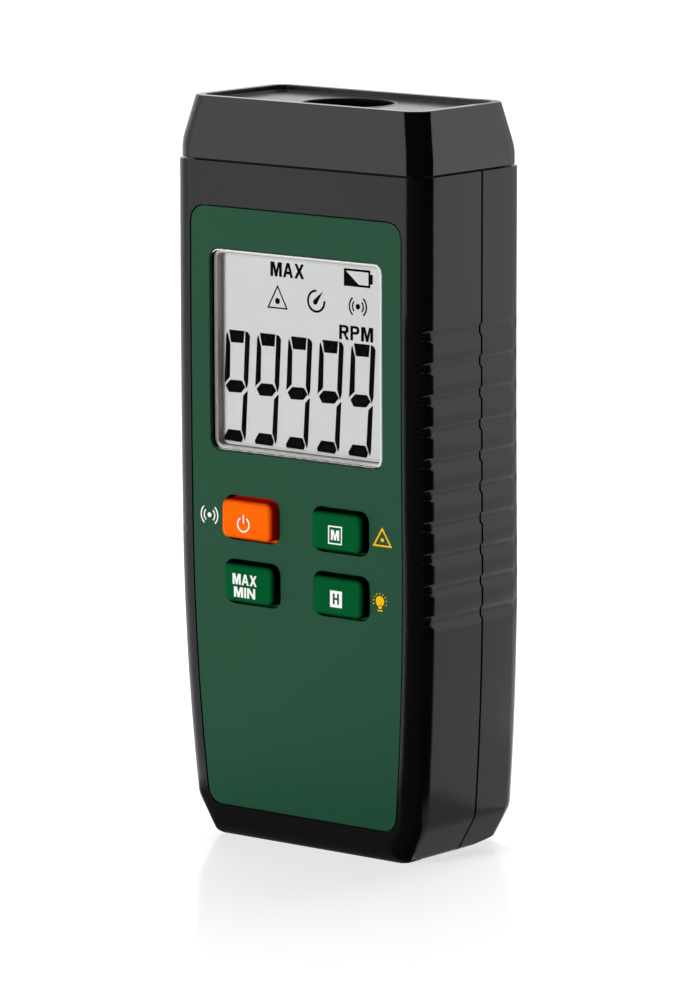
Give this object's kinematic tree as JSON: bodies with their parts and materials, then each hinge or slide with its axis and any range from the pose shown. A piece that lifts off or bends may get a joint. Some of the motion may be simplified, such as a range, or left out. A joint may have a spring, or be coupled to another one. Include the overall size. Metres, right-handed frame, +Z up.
{
  "type": "laser tachometer",
  "caption": "Handheld laser tachometer with a tapered two-shell case, display window, sprung keys, sensor port in its top cap, battery door and tripod bush.",
  "frame": {"origin": "on the foot's plane under the middle of the case", "axes": "+X to the right seen from the front, the front faces -Y, +Z up along the height"},
  "size_m": [0.0564, 0.0333, 0.134],
  "materials": {
    "case": "fine-grained black",
    "cap": "smooth black",
    "panel": "satin dark green",
    "window": "clear",
    "lcd": "grey reflective display",
    "diffuser": "white diffuser",
    "dark_plastic": "black",
    "elastomer": "pink elastomer with black core",
    "board": "green solder mask",
    "steel": "zinc plated",
    "shield": "tinned sheet",
    "plunger": "off-white",
    "orange_key": "orange",
    "green_key": "dark green",
    "optics": "clear",
    "brass": "machined",
    "cell": "printed sleeve, plain"
  },
  "bodies": {
    "housing": {"front_case": "case", "rear_case": "case", "top_cap": "cap", "front_panel": "panel", "display_window": "window", "lcd_glass": "lcd", "backlight_panel": "diffuser", "lcd_frame": "dark_plastic", "upper_zebra_strip": "elastomer", "lower_zebra_strip": "elastomer", "main_board": "board", "board_screws": "steel", "power_switch": "dark_plastic", "memory_switch": "dark_plastic", "max_min_switch": "dark_plastic", "hold_switch": "dark_plastic", "controller_chip": "dark_plastic", "radio_module": "shield", "sensor_header": "dark_plastic", "sensor_board": "board", "sensor_holder": "dark_plastic", "collector_lens": "optics", "photodiode": "dark_plastic", "laser_barrel": "brass", "laser_lens": "optics", "left_cell": "cell", "middle_cell": "cell", "right_cell": "cell", "spring_contacts": "steel", "plate_contacts": "steel", "case_screws": "steel", "tripod_bush": "brass"},
    "power_key_body": {"power_key": "orange_key", "power_plunger": "plunger"},
    "memory_key_body": {"memory_key": "green_key", "memory_plunger": "plunger"},
    "max_min_key_body": {"max_min_key": "green_key", "max_min_plunger": "plunger"},
    "hold_key_body": {"hold_key": "green_key", "hold_plunger": "plunger"},
    "battery_door_body": {"battery_door": "case"}
  },
  "joints": [
    {"name": "power_press", "type": "slide", "parent": "housing", "child": "power_key_body", "axis": [0, 1, 0], "range_m": [0, 0.0008], "stiffness_N_per_m": 1500, "springref_m": -0.0004},
    {"name": "memory_press", "type": "slide", "parent": "housing", "child": "memory_key_body", "axis": [0, 1, 0], "range_m": [0, 0.0008], "stiffness_N_per_m": 1500, "springref_m": -0.0004},
    {"name": "max_min_press", "type": "slide", "parent": "housing", "child": "max_min_key_body", "axis": [0, 1, 0], "range_m": [0, 0.0008], "stiffness_N_per_m": 1500, "springref_m": -0.0004},
    {"name": "hold_press", "type": "slide", "parent": "housing", "child": "hold_key_body", "axis": [0, 1, 0], "range_m": [0, 0.0008], "stiffness_N_per_m": 1500, "springref_m": -0.0004},
    {"name": "battery_door_tilt", "type": "hinge", "parent": "housing", "child": "battery_door_body", "pos_m": [0, 0.01667, 0.0107], "axis": [-1, 0, 0], "range_deg": [0, 70]}
  ]
}
